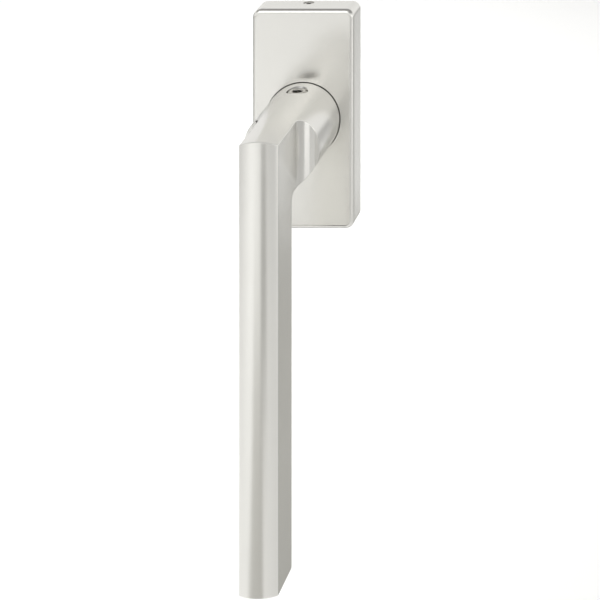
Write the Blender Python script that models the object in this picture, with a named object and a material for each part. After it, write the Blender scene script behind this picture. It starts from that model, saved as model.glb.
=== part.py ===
"""Tilt and turn window handle on a rectangular rosette, lever pointing down (window closed).

The origin is the spindle's axis at the face of the window frame. +Y runs into the frame,
-Y towards the person, +X to the right and +Z up. Every length is in metres.
"""

import math

import bmesh
import bpy

MM = 0.001
GAP = 0.3 * MM  # left between neighbouring pieces

# Rosette cover
COVER_WIDTH = 31.0 * MM
COVER_HEIGHT = 67.0 * MM
COVER_DEPTH = 10.0 * MM
COVER_CORNER = 2.6 * MM
COVER_EDGE = 1.35 * MM
COVER_WALL = 1.3 * MM

# Lever
NECK_RADIUS = 11.3 * MM
GRIP_WIDTH = 11.2 * MM
GRIP_BACK = -47.5 * MM
GRIP_FRONT_EDGE = -63.6 * MM
PROJECTION = 65.5 * MM
LEVER_LENGTH = 118.5 * MM
UNDERCUT_RADIUS = 2.2 * MM

# Click mechanism and spindle, front to back
NECK_SHOULDER = -7.9 * MM
JOURNAL_RADIUS = 7.0 * MM
JOURNAL_FLAT = 6.0 * MM
JOURNAL_END = -1.1 * MM
GROOVE = (-2.5 * MM, -1.5 * MM)
GROOVE_RADIUS = 6.3 * MM
CAM = (-4.0 * MM, -2.6 * MM)
CAM_ACROSS_FLATS = 17.4 * MM
CAM_CORNER_RADIUS = 10.25 * MM
SPINDLE_SIDE = 7.0 * MM
SPINDLE = (-30.0 * MM, 35.0 * MM)
SPRING_THICKNESS = 0.6 * MM
SPRING_LENGTH = 25.4 * MM

# Base plate and what fixes it
BASE_WIDTH = 27.4 * MM
BASE_HEIGHT = 63.4 * MM
BASE_FRONT = -6.8 * MM
PAD_FRONT = -8.2 * MM
PAD_START = 15.0 * MM
WEB_BACK = -5.0 * MM
SCREW_SPACING = 43.0 * MM
SCREW_RADIUS = 2.5 * MM
SCREW_LENGTH = 40.0 * MM
SPIGOT_RADIUS = 5.0 * MM
SPIGOT = (-2.5 * MM, 3.0 * MM)
PLATE_THICKNESS = 0.8 * MM
PLATE_WIDTH = 24.8 * MM
PLATE_HEIGHT = 34.0 * MM
PLATE_SCREW_AT = (9.6 * MM, 14.6 * MM)

# Socket screws
GRUB_RADIUS = 3.0 * MM
GRUB_AT = -17.3 * MM
GRUB_SOCKET = 3.0 * MM
SET_SCREW_RADIUS = 1.5 * MM
SET_SCREW_AT = -2.2 * MM
SET_SCREW_SOCKET = 1.5 * MM
SET_SCREW_TOP = COVER_HEIGHT / 2 - 0.2 * MM
SET_SCREW_TIP = 30.3 * MM
NOTCH_FLOOR = SET_SCREW_TIP - GAP

ROUND_STEPS = 64
SMALL_ROUND_STEPS = 24
CORNER_STEPS = 4


def clear_scene():
    for old in list(bpy.data.objects):
        bpy.data.objects.remove(old)


def finish(name, color, roughness, metallic):
    """A Principled material; the colour is linear."""
    material = bpy.data.materials.new(name)
    material.use_nodes = True
    shader = material.node_tree.nodes["Principled BSDF"]
    shader.inputs["Base Color"].default_value = (*color, 1)
    shader.inputs["Roughness"].default_value = roughness
    shader.inputs["Metallic"].default_value = metallic
    return material


def body(name):
    """An empty on the joint's axis that a body's pieces hang from."""
    empty = bpy.data.objects.new(name, None)
    bpy.context.collection.objects.link(empty)
    return empty


def solid(name, bm):
    """The mesh as an object, its faces turned outwards and its round faces smooth."""
    bmesh.ops.recalc_face_normals(bm, faces=bm.faces)
    mesh = bpy.data.meshes.new(name)
    bm.to_mesh(mesh)
    bm.free()
    mesh.shade_smooth()
    mesh.set_sharp_from_angle(angle=math.radians(30))
    piece = bpy.data.objects.new(name, mesh)
    bpy.context.collection.objects.link(piece)
    return piece


def give(piece, parent, material):
    piece.parent = parent
    piece.data.materials.append(material)
    return piece


def combine(piece, operation, tools):
    """Cut or join with other solids, which then move with the piece."""
    for tool in tools:
        tool.parent = piece
        modifier = piece.modifiers.new(tool.name, "BOOLEAN")
        modifier.operation = operation
        modifier.object = tool
        tool.hide_render = True
        tool.display_type = "WIRE"


def cut(piece, *tools):
    combine(piece, "DIFFERENCE", tools)


def join(piece, *tools):
    combine(piece, "UNION", tools)


def arc(centre, radius, start, end, steps):
    """Points of an arc between two angles in degrees."""
    angles = [math.radians(start + (end - start) * step / steps) for step in range(steps + 1)]
    return [(centre[0] + radius * math.cos(a), centre[1] + radius * math.sin(a)) for a in angles]


def rounded_rectangle(width, height, radius):
    points = []
    for turn, (side, level) in enumerate(((1, 1), (-1, 1), (-1, -1), (1, -1))):
        corner = (side * (width / 2 - radius), level * (height / 2 - radius))
        points += arc(corner, radius, 90 * turn, 90 * turn + 90, CORNER_STEPS)
    return points


def rectangle(left, right, low, high):
    return [(left, low), (right, low), (right, high), (left, high)]


def hexagon(across_flats):
    """A socket's six corners."""
    return arc((0, 0), across_flats / math.sqrt(3), 0, 300, 5)


def on_axis(axis, along, u, v):
    """The point u, v of an outline that stands square to an axis."""
    return {"X": (along, u, v), "Y": (u, along, v), "Z": (u, v, along)}[axis]


def prism(name, outline, axis, low, high):
    """An outline pushed along an axis. It holds (y, z) for X, (x, z) for Y or (x, y) for Z."""
    bm = bmesh.new()
    face = bm.faces.new([bm.verts.new(on_axis(axis, low, u, v)) for u, v in outline])
    made = bmesh.ops.extrude_face_region(bm, geom=[face])["geom"]
    moved = [vert for vert in made if isinstance(vert, bmesh.types.BMVert)]
    bmesh.ops.translate(bm, verts=moved, vec=on_axis(axis, high - low, 0, 0))
    return solid(name, bm)


def turned(name, outline, steps=ROUND_STEPS, ring=False):
    """(radius, y) points turned about the Y axis. A ring's outline is closed, off the axis."""
    bm = bmesh.new()
    points = [bm.verts.new((radius, y, 0)) for radius, y in outline]
    edges = [bm.edges.new(pair) for pair in zip(points, points[1:])]
    if ring:
        edges.append(bm.edges.new((points[-1], points[0])))
    bmesh.ops.spin(
        bm, geom=points + edges, cent=(0, 0, 0), axis=(0, 1, 0), angle=math.tau, steps=steps
    )
    bmesh.ops.remove_doubles(bm, verts=bm.verts, dist=1e-7)
    return solid(name, bm)


def tube(name, inner, outer, low, high, steps=ROUND_STEPS):
    outline = [(inner, low), (outer, low), (outer, high), (inner, high)]
    return turned(name, outline, steps, ring=True)


def rod(name, radius, low, high, steps=ROUND_STEPS):
    return turned(name, [(0, low), (radius, low), (radius, high), (0, high)], steps)


def upright(piece, y):
    """Stand a piece that was made along Y on the Z axis, at this y."""
    piece.rotation_euler.x = math.radians(90)
    piece.location.y = y
    return piece


def at(piece, x, z):
    piece.location.x = x
    piece.location.z = z
    return piece


def set_screw(name, radius, length, socket):
    """A headless screw along Y from its tip at 0, with a chamfered tip and a hexagon socket."""
    chamfer = radius / 4
    outline = [(0, 0), (radius - chamfer, 0), (radius, chamfer), (radius, length), (0, length)]
    screw = turned(name, outline, SMALL_ROUND_STEPS)
    cut(screw, prism(name + "_socket", hexagon(socket), "Y", length - socket, length + MM))
    return screw


def countersunk(name, head_radius, radius, top, end, steps):
    """A screw pointing to +Y, whose head tapers at 90 degrees from its flat top."""
    neck = top + head_radius - radius
    outline = [(0, top), (head_radius, top), (radius, neck)]
    return turned(name, outline + [(radius, end - radius / 2), (radius / 2, end), (0, end)], steps)


def cross_recess(name, top, depth, reach, width):
    """The cross that a driver's tip goes into."""
    corners = [(width, width), (width, reach), (-width, reach), (-width, width)]
    outline = corners + [(-reach, width), (-reach, -width), (-width, -width), (-width, -reach)]
    outline += [(width, -reach), (width, -width), (reach, -width), (reach, width)]
    return prism(name, outline, "Y", top - MM, top + depth)


# Rosette cover and what slides forward with it


def rosette_cover(parent, material):
    """A rectangular cap, open at the back, with a round hole for the neck."""
    bm = bmesh.new()
    outline = rounded_rectangle(COVER_WIDTH, COVER_HEIGHT, COVER_CORNER)
    face = bm.faces.new([bm.verts.new((x, 0, z)) for x, z in outline])
    made = bmesh.ops.extrude_face_region(bm, geom=[face])["geom"]
    front = [vert for vert in made if isinstance(vert, bmesh.types.BMVert)]
    bmesh.ops.translate(bm, verts=front, vec=(0, -COVER_DEPTH, 0))
    rim = [edge for edge in bm.edges if all(vert in front for vert in edge.verts)]
    bmesh.ops.bevel(bm, geom=rim, offset=COVER_EDGE, segments=4, profile=0.5, affect="EDGES")
    cover = give(solid("rosette_cover", bm), parent, material)

    hollow = rounded_rectangle(
        COVER_WIDTH - 2 * COVER_WALL, COVER_HEIGHT - 2 * COVER_WALL, COVER_CORNER - COVER_WALL
    )
    inner_front = -COVER_DEPTH + COVER_WALL
    cut(cover, prism("cover_hollow", hollow, "Y", MM, inner_front))
    join(cover, tube("cover_collar", 13.6 * MM, 14.6 * MM, inner_front - 0.5 * MM, -7.4 * MM))
    boss = rectangle(-3.2 * MM, 3.2 * MM, SET_SCREW_TIP, COVER_HEIGHT / 2 - COVER_WALL / 2)
    join(cover, prism("cover_boss", boss, "Y", -4.4 * MM, -0.2 * MM))
    cut(cover, rod("cover_neck_hole", NECK_RADIUS + 0.45 * MM, -2 * COVER_DEPTH, -5 * MM))
    thread = rod("cover_thread", SET_SCREW_RADIUS + GAP, 20 * MM, 40 * MM, SMALL_ROUND_STEPS)
    cut(cover, upright(thread, SET_SCREW_AT))
    return cover


def cover_set_screw(parent, material):
    """M3 screw in the cover's top edge, its tip just clear of the base plate."""
    length = SET_SCREW_TOP - SET_SCREW_TIP
    screw = set_screw("cover_set_screw", SET_SCREW_RADIUS, length, SET_SCREW_SOCKET)
    upright(screw, SET_SCREW_AT).location.z = SET_SCREW_TIP
    return give(screw, parent, material)


def cover_guide_ring(parent, material):
    """Plastic ring inside the cover that keeps its edge off the neck."""
    ring = tube("cover_guide_ring", NECK_RADIUS + GAP, 13.3 * MM, -8.4 * MM, -7.3 * MM)
    return give(ring, parent, material)


# Lever and what turns with it


def lever_plan():
    """The lever from above: round shoulders into flat sides, and a crowned front."""
    half = GRIP_WIDTH / 2
    shoulder = NECK_RADIUS - half
    shoulder_front = -42.6 * MM
    crown = -PROJECTION - GRIP_FRONT_EDGE
    crown_radius = (half**2 + crown**2) / (-2 * crown)
    crown_angle = math.degrees(math.asin(half / crown_radius))
    right = [(NECK_RADIUS + MM, 0), (NECK_RADIUS + MM, shoulder_front + shoulder)]
    right += arc((NECK_RADIUS, shoulder_front), shoulder, 90, 180, 8)
    centre = (0, -PROJECTION + crown_radius)
    right += arc(centre, crown_radius, -90 + crown_angle, -90, 5)
    return right + [(-x, y) for x, y in reversed(right[:-1])]


def undercut():
    """The small hollow radius between the neck's round underside and the grip's back."""
    bm = bmesh.new()
    centre_y = GRIP_BACK + UNDERCUT_RADIUS
    rows = []
    for step in range(-6, 7):
        x = step * MM
        under = -math.sqrt(NECK_RADIUS**2 - x**2)
        outline = [(GRIP_BACK - MM, under + MM), (centre_y, under + MM)]
        outline += arc((centre_y, under - UNDERCUT_RADIUS), UNDERCUT_RADIUS, 90, 180, 5)
        outline.append((GRIP_BACK - MM, under - UNDERCUT_RADIUS))
        rows.append([bm.verts.new((x, y, z)) for y, z in outline])
    for row, after in zip(rows, rows[1:]):
        for i in range(len(row)):
            bm.faces.new((row[i - 1], row[i], after[i], after[i - 1]))
    bm.faces.new(rows[0])
    bm.faces.new(rows[-1])
    return solid("lever_undercut", bm)


def handle_lever(parent, material):
    """Neck and grip in one casting, with a journal at the back for the click mechanism."""
    lever = rod("handle_lever", NECK_RADIUS, -PROJECTION - MM, NECK_SHOULDER)
    give(lever, parent, material)
    half = NECK_RADIUS - 3 * MM
    grip = rectangle(-half, half, -PROJECTION - 2 * MM, GRIP_BACK)
    join(lever, prism("lever_grip", grip, "Z", -LEVER_LENGTH, 0))
    join(lever, undercut())
    plan = prism("lever_plan", lever_plan(), "Z", -LEVER_LENGTH - MM, NECK_RADIUS + MM)
    combine(lever, "INTERSECT", [plan])

    journal = rod("lever_journal", JOURNAL_RADIUS, NECK_SHOULDER - MM, JOURNAL_END)
    groove = tube("journal_groove", GROOVE_RADIUS, JOURNAL_RADIUS + MM, *GROOVE)
    cut(journal, groove)
    for side in (-1, 1):
        low, high = sorted((side * JOURNAL_FLAT, side * (JOURNAL_RADIUS + 2 * MM)))
        flat = rectangle(low, high, -JOURNAL_RADIUS, JOURNAL_RADIUS)
        cut(journal, prism(f"journal_flat_{side}", flat, "Y", CAM[0] - GAP, 0))
    join(lever, journal)

    room = SPINDLE_SIDE / 2 + GAP
    hole = rectangle(-room, room, -room, room)
    cut(lever, prism("spindle_hole", hole, "Y", SPINDLE[0] - GAP, MM))
    thread = rod("grub_thread", GRUB_RADIUS + GAP, 0, 2 * NECK_RADIUS, SMALL_ROUND_STEPS)
    cut(lever, upright(thread, GRUB_AT))
    return lever


def neck_grub_screw(parent, material):
    """M6 screw in the top of the neck that clamps the spindle."""
    tip = SPINDLE_SIDE / 2 + GAP
    length = NECK_RADIUS - 0.4 * MM - tip
    screw = set_screw("neck_grub_screw", GRUB_RADIUS, length, GRUB_SOCKET)
    upright(screw, GRUB_AT).location.z = tip
    return give(screw, parent, material)


def square_spindle(parent, material):
    """Square steel bar with chamfered ends that turns the window's gear."""
    bm = bmesh.new()
    bmesh.ops.create_cube(bm, size=1)
    size = (SPINDLE_SIDE, SPINDLE[1] - SPINDLE[0], SPINDLE_SIDE)
    bmesh.ops.scale(bm, vec=size, verts=bm.verts)
    bmesh.ops.translate(bm, vec=(0, sum(SPINDLE) / 2, 0), verts=bm.verts)
    ends = [edge for edge in bm.edges if abs(edge.verts[0].co.y - edge.verts[1].co.y) < MM]
    bmesh.ops.bevel(bm, geom=ends, offset=0.7 * MM, segments=1, affect="EDGES")
    return give(solid("square_spindle", bm), parent, material)


def keyed_hole(name, radius, flat, low, high):
    """A round hole with two flats, as on the journal's end."""
    angle = math.degrees(math.acos(flat / radius))
    outline = arc((0, 0), radius, angle, 180 - angle, 16)
    outline += arc((0, 0), radius, 180 + angle, 360 - angle, 16)
    return prism(name, outline, "Y", low, high)


def detent_cam(parent, material):
    """Steel plate whose four flats meet the leaf springs every quarter turn."""
    half = CAM_ACROSS_FLATS / 2
    angle = math.degrees(math.acos(half / CAM_CORNER_RADIUS))
    outline = []
    for quarter in range(4):
        start = 90 * quarter
        outline += arc((0, 0), CAM_CORNER_RADIUS, start + angle, start + 90 - angle, 6)
    cam = give(prism("detent_cam", outline, "Y", *CAM), parent, material)
    cut(cam, keyed_hole("cam_hole", JOURNAL_RADIUS + GAP, JOURNAL_FLAT + GAP, CAM[0] - MM, 0))
    return cam


def wave_washer(parent, material):
    """Spring washer, pressed nearly flat between the base plate's web and the cam."""
    inner = JOURNAL_RADIUS + GAP
    washer = tube("wave_washer", inner, 9.5 * MM, WEB_BACK + GAP, CAM[0] - GAP, 48)
    return give(washer, parent, material)


def retaining_ring(parent, material):
    """Open spring ring in the journal's groove."""
    inner = GROOVE_RADIUS + GAP
    outline = arc((0, 0), 8.4 * MM, -60, 240, 30) + arc((0, 0), inner, 240, -60, 30)
    low, high = GROOVE[0] + 0.2 * MM, GROOVE[1] - 0.2 * MM
    return give(prism("retaining_ring", outline, "Y", low, high), parent, material)


# Base plate and what stays on the window frame


def plate_screw_places():
    x, z = PLATE_SCREW_AT
    return {
        "upper_left": (-x, z),
        "upper_right": (x, z),
        "lower_left": (-x, -z),
        "lower_right": (x, -z),
    }


def fixing_places():
    return {"upper": SCREW_SPACING / 2, "lower": -SCREW_SPACING / 2}


def plate_screw_room(name, place):
    """A countersunk hole from the back, a little larger than its screw."""
    outline = [(0, MM), (2.2 * MM, MM), (2.2 * MM, 0), (1.3 * MM, -1.1 * MM)]
    outline += [(1.3 * MM, -5.4 * MM), (0, -5.4 * MM)]
    return at(turned(name, outline, SMALL_ROUND_STEPS), *place)


def base_plate(parent, material):
    """Die-cast plate with raised pads for the fixing screws and a pocket behind for the clicks."""
    outline = rounded_rectangle(BASE_WIDTH, BASE_HEIGHT, 2.0 * MM)
    base = give(prism("base_plate", outline, "Y", 0, PAD_FRONT), parent, material)
    wide = BASE_WIDTH
    middle = rectangle(-wide, wide, -PAD_START, PAD_START)
    cut(base, prism("base_middle", middle, "Y", PAD_FRONT - MM, BASE_FRONT))
    recess = rounded_rectangle(PLATE_WIDTH + 2 * GAP, PLATE_HEIGHT + 2 * GAP, 1.5 * MM)
    cut(base, prism("base_recess", recess, "Y", -PLATE_THICKNESS - GAP, MM))
    pocket = rectangle(-11.6 * MM, 11.6 * MM, -11.3 * MM, 11.3 * MM)
    cut(base, prism("spring_pocket", pocket, "Y", WEB_BACK, 2 * MM))
    reach = SPRING_LENGTH / 2 + GAP
    seats = rectangle(-9.9 * MM, 9.9 * MM, -reach, reach)
    cut(base, prism("spring_seats", seats, "Y", WEB_BACK, 3 * MM))
    cut(base, rod("bush_hole", 8.8 * MM, -10 * MM, MM))
    notch = rectangle(-3.6 * MM, 3.6 * MM, NOTCH_FLOOR, BASE_HEIGHT)
    cut(base, prism("set_screw_notch", notch, "Y", -10 * MM, MM))
    for where, z in fixing_places().items():
        hole = SCREW_RADIUS + GAP
        head = 4.9 * MM
        seat = PAD_FRONT + head - hole
        bottom = SPIGOT[0] - GAP
        outline = [(0, PAD_FRONT - MM), (head, PAD_FRONT - MM), (head, PAD_FRONT), (hole, seat)]
        outline += [(hole, bottom), (SPIGOT_RADIUS + GAP, bottom), (SPIGOT_RADIUS + GAP, MM)]
        cut(base, at(turned(f"{where}_fixing_hole", outline + [(0, MM)], 32), 0, z))
    for where, place in plate_screw_places().items():
        cut(base, plate_screw_room(f"base_hole_{where}", place))
    return base


def back_plate(parent, material):
    """Sheet steel lid of the click mechanism, flush with the base plate's back."""
    outline = rounded_rectangle(PLATE_WIDTH, PLATE_HEIGHT, 1.2 * MM)
    plate = prism("back_plate", outline, "Y", -PLATE_THICKNESS, 0)
    give(plate, parent, material)
    cut(plate, rod("plate_hole", 5.6 * MM, -5 * MM, MM))
    for where, z in fixing_places().items():
        room = rod(f"plate_notch_{where}", SPIGOT_RADIUS + 2 * GAP, -5 * MM, MM, 32)
        cut(plate, at(room, 0, z))
    for where, place in plate_screw_places().items():
        cut(plate, plate_screw_room(f"plate_hole_{where}", place))
    return plate


def back_plate_screw(where, place, parent, material):
    """M2 countersunk screw that points forward into the base plate."""
    name = f"back_plate_screw_{where}"
    screw = countersunk(name, 1.9 * MM, 1.0 * MM, 0.1 * MM, 5.0 * MM, SMALL_ROUND_STEPS)
    cut(screw, cross_recess(name + "_recess", 0.1 * MM, 0.7 * MM, 1.0 * MM, 0.25 * MM))
    screw.rotation_euler.x = math.radians(180)
    return give(at(screw, *place), parent, material)


def bearing_bush(parent, material):
    """Flanged plastic bush between the journal and the base plate's web."""
    inner = JOURNAL_RADIUS + GAP
    flange_back = BASE_FRONT - GAP
    outline = [(inner, NECK_SHOULDER + GAP), (10.8 * MM, NECK_SHOULDER + GAP)]
    outline += [(10.8 * MM, flange_back), (8.5 * MM, flange_back), (8.5 * MM, -5.2 * MM)]
    outline.append((inner, -5.2 * MM))
    return give(turned("bearing_bush", outline, ring=True), parent, material)


def detent_spring(where, side, parent, material):
    """Leaf spring whose middle lies on the cam's flat and whose ends lie in the base plate."""
    inner = CAM_ACROSS_FLATS / 2 + GAP
    reach = SPRING_LENGTH / 2
    left, right = sorted((side * inner, side * (inner + SPRING_THICKNESS)))
    outline = rectangle(left, right, -reach, reach)
    spring = prism(f"detent_spring_{where}", outline, "Y", CAM[0] - GAP, CAM[1] + GAP)
    return give(spring, parent, material)


def fixing_screw(where, z, parent, material):
    """M5 countersunk screw into the window's gear."""
    top = PAD_FRONT + GAP
    name = f"{where}_fixing_screw"
    screw = countersunk(name, 4.6 * MM, SCREW_RADIUS, top, top + SCREW_LENGTH, 32)
    cut(screw, cross_recess(name + "_recess", top, 2.2 * MM, 2.4 * MM, 0.55 * MM))
    return give(at(screw, 0, z), parent, material)


def support_sleeve(where, z, parent, material):
    """Spigot round a fixing screw that reaches into the window frame."""
    name = f"{where}_support_sleeve"
    sleeve = tube(name, SCREW_RADIUS + GAP, SPIGOT_RADIUS, *SPIGOT, 32)
    return give(at(sleeve, 0, z), parent, material)


clear_scene()

anodised = finish("anodised_aluminium", (0.62, 0.61, 0.6), 0.35, 1.0)
zinc = finish("zinc_die_casting", (0.36, 0.37, 0.38), 0.5, 1.0)
plated = finish("zinc_plated_steel", (0.55, 0.56, 0.58), 0.3, 1.0)
stainless = finish("stainless_steel", (0.6, 0.59, 0.57), 0.25, 1.0)
spring_steel = finish("spring_steel", (0.3, 0.31, 0.33), 0.35, 1.0)
polyamide = finish("polyamide", (0.5, 0.5, 0.48), 0.55, 0.0)

rosette = body("rosette_frame")
cover = body("cover_slide_axis")
lever = body("lever_turning_axis")

rosette_cover(cover, anodised)
cover_set_screw(cover, stainless)
cover_guide_ring(cover, polyamide)

handle_lever(lever, anodised)
neck_grub_screw(lever, stainless)
square_spindle(lever, plated)
detent_cam(lever, spring_steel)
wave_washer(lever, spring_steel)
retaining_ring(lever, spring_steel)

base_plate(rosette, zinc)
back_plate(rosette, plated)
bearing_bush(rosette, polyamide)
for corner, spot in plate_screw_places().items():
    back_plate_screw(corner, spot, rosette, plated)
for hand, sign in (("left", -1), ("right", 1)):
    detent_spring(hand, sign, rosette, spring_steel)
for end, height in fixing_places().items():
    fixing_screw(end, height, rosette, plated)
    support_sleeve(end, height, rosette, polyamide)
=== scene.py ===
"""Tilt and turn window handle, lever down, in satin anodised aluminium, on a pale studio floor."""

import math

import bmesh
import bpy
import numpy as np
from mathutils import Matrix, Vector


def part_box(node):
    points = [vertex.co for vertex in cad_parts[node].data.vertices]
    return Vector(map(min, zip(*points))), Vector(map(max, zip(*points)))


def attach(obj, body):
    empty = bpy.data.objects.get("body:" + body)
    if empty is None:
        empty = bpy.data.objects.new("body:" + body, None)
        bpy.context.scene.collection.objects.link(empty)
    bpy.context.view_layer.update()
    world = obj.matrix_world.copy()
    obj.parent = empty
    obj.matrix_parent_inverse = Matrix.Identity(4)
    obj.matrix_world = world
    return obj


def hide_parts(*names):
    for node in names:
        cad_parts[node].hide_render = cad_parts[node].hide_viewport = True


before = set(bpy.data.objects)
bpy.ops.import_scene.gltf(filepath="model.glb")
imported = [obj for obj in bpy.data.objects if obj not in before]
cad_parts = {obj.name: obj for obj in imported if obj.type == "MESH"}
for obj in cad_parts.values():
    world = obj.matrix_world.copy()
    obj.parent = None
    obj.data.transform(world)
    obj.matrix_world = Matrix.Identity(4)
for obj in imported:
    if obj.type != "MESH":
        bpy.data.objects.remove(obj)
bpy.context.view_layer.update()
bpy.ops.object.select_all(action="DESELECT")

# --- Camera ---------------------------------------------------------------------------------
# A view camera stands to the right of the handle and above it, with its film parallel to the
# rosette and moved far across, so upright edges stay upright and level edges level. Slanted
# axes give that picture with no lens shift, which would throw the object out of other views.

camera_place = Vector((0.1884, -0.8087, 0.2563))
sight_line = Vector((-0.2370, 1.0, -0.3899))  # from the lens to the picture's centre
lens_for_straight_film = 157.0  # mm, on 36 mm film

camera_data = bpy.data.cameras.new("view_camera")
camera_data.lens = lens_for_straight_film * sight_line.length
camera_data.clip_start, camera_data.clip_end = 0.05, 50
camera = bpy.data.objects.new("view_camera", camera_data)
standard = bpy.data.objects.new("camera_standard", None)
for item in (standard, camera):
    bpy.context.collection.objects.link(item)
film_axes = Matrix((Vector((1, 0, 0)), Vector((0, 0, 1)), -sight_line.normalized())).transposed()
# Blender holds slanted axes only as a turn and a stretch on a parent, and a turn on its child.
parent_turn, stretch, child_turn = (part.tolist() for part in np.linalg.svd(np.array(film_axes)))
parent_turn, child_turn = Matrix(parent_turn), Matrix(child_turn)
if parent_turn.determinant() < 0:
    parent_turn, child_turn = parent_turn * -1, child_turn * -1
standard.location = camera_place
standard.rotation_euler = parent_turn.to_euler()
standard.scale = stretch
camera.parent = standard
camera.rotation_euler = child_turn.to_euler()
bpy.context.scene.camera = camera

# --- Studio ---------------------------------------------------------------------------------
# A pale matte floor lies well below the handle, in a room with white walls and a grey ceiling.
# One soft light hangs in front, one stands on the right and two light the floor. Dull cards that
# only the metal sees give it darker bands between broad highlights with soft edges.


def colour(code):
    """The linear colour of an sRGB hex code such as e6e4de."""
    values = [int(code[i : i + 2], 16) / 255 for i in (0, 2, 4)]
    return (*(v / 12.92 if v <= 0.04045 else ((v + 0.055) / 1.055) ** 2.4 for v in values), 1)


def add_node(material, kind, settings=None, **inputs):
    """A node with its settings; an input takes a value, or another node's output to link."""
    tree = material.node_tree
    made = tree.nodes.new(kind)
    for name, value in (settings or {}).items():
        setattr(made, name, value)
    for name, value in inputs.items():
        socket = made.inputs[int(name[1:]) if name[1:].isdigit() else name.replace("_", " ")]
        if isinstance(value, bpy.types.NodeSocket):
            tree.links.new(value, socket)
        else:
            socket.default_value = value
    return made


def new_material(name):
    material = bpy.data.materials.new(name)
    material.use_nodes = True
    material.node_tree.nodes.clear()
    return material


def shine(material, **inputs):
    """The material's Principled shader, linked to its output."""
    shader = add_node(material, "ShaderNodeBsdfPrincipled", **inputs)
    output = add_node(material, "ShaderNodeOutputMaterial")
    material.node_tree.links.new(shader.outputs["BSDF"], output.inputs["Surface"])
    return shader


bpy.context.scene.view_settings.view_transform = "Standard"
room = bpy.data.worlds.new("white_room")
bpy.context.scene.world = room
room.use_nodes = True
room_height = add_node(room, "ShaderNodeSeparateXYZ")
room_direction = add_node(room, "ShaderNodeTexCoord").outputs["Generated"]
room.node_tree.links.new(room_direction, room_height.inputs["Vector"])
# The walls are white up to 21 degrees above the horizon. From 38 degrees the ceiling is grey.
wall_top, ceiling_start = 0.36, 0.62  # sines of those angles
wall_brightness, ceiling_brightness = 0.95, 0.34
room_strength = add_node(
    room,
    "ShaderNodeMapRange",
    {"interpolation_type": "SMOOTHSTEP"},
    Value=room_height.outputs["Z"],
    From_Min=wall_top,
    From_Max=ceiling_start,
    To_Min=wall_brightness,
    To_Max=ceiling_brightness,
)
room_light = room.node_tree.nodes["Background"]
room_light.inputs["Color"].default_value = (1.0, 0.995, 0.98, 1)
room.node_tree.links.new(room_strength.outputs["Result"], room_light.inputs["Strength"])

floor_level = -0.32
floor_width = 9
bpy.ops.mesh.primitive_plane_add(size=floor_width, location=(0, 0, floor_level))
floor = bpy.context.active_object
floor.name = "studio_floor"
bpy.ops.object.transform_apply(location=True)
painted_board = new_material("matt_white_board")
shine(painted_board, Base_Color=colour("f6f6f5"), Roughness=0.9)
floor.data.materials.append(painted_board)


def softbox(name, place, target, width, height, brightness, in_reflections=True):
    """An area light that faces a point, as bright to look at as a white wall times brightness."""
    bpy.ops.object.light_add(type="AREA", location=place)
    light = bpy.context.active_object
    light.name = name
    light.data.shape = "RECTANGLE"
    light.data.size, light.data.size_y = width, height
    light.data.energy = brightness * math.pi * width * height
    light.rotation_euler = (Vector(target) - Vector(place)).to_track_quat("-Z", "Y").to_euler()
    light.visible_camera = False
    light.visible_glossy = in_reflections


softbox("top_box", (-0.25, -0.75, 0.85), (0, 0, 0), 1.2, 0.8, 1.3)
softbox("right_box", (0.85, -0.44, -0.04), (0, -0.44, -0.04), 0.44, 0.5, 0.9)
softbox("rear_floor_light", (-0.4, 0.75, 0.27), (-0.4, 0.75, 0), 0.65, 1.2, 2.5, False)
softbox("front_floor_light", (-0.5, -1.05, 0.4), (-0.5, -1.05, 0), 0.9, 1.0, 2.0, False)


def card(name, place, target, width, height, felt):
    """A dull card, out of the camera's sight, that draws a dark band on the metal."""
    bpy.ops.mesh.primitive_plane_add(size=1, location=place)
    sheet = bpy.context.active_object
    sheet.name = name
    sheet.scale = (width, height, 1)
    sheet.rotation_euler = (Vector(target) - Vector(place)).to_track_quat("Z", "Y").to_euler()
    bpy.ops.object.transform_apply(location=True, rotation=True, scale=True)
    sheet.data.materials.append(felt)
    sheet.visible_camera = sheet.visible_diffuse = sheet.visible_shadow = False


black_felt = new_material("black_felt")
shine(black_felt, Base_Color=colour("1c1c1c"), Roughness=1.0)
grey_felt = new_material("grey_felt")
shine(grey_felt, Base_Color=colour("b9b8b4"), Roughness=1.0)
dark_grey_felt = new_material("dark_grey_felt")
shine(dark_grey_felt, Base_Color=colour("9a9995"), Roughness=1.0)
just_above = floor_level + 0.002
card("left_card", (-0.66, 0.5, -0.1), (0, 0, 0), 0.42, 0.44, black_felt)
card("low_card", (-0.06, 0.13, -0.30), (0, 0, 0), 0.3, 0.26, black_felt)
card("side_card", (0.22, 0.51, just_above), (0.22, 0.51, 0), 0.44, 0.56, grey_felt)
card("front_card", (-0.12, -0.52, just_above), (-0.12, -0.52, 0), 0.34, 0.46, grey_felt)
card("neck_card", (0.13, -0.9, just_above), (0.13, -0.9, 0), 0.26, 0.44, dark_grey_felt)
bpy.ops.object.select_all(action="DESELECT")

# --- Handle lever ---------------------------------------------------------------------------
# Neck and grip are one aluminium die casting, linished, blasted with fine grit and anodised
# in natural silver, which leaves a satin skin. Round neck, shoulders milled in to a flat
# grip, crowned front. A journal at the back turns in the rosette.

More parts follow.
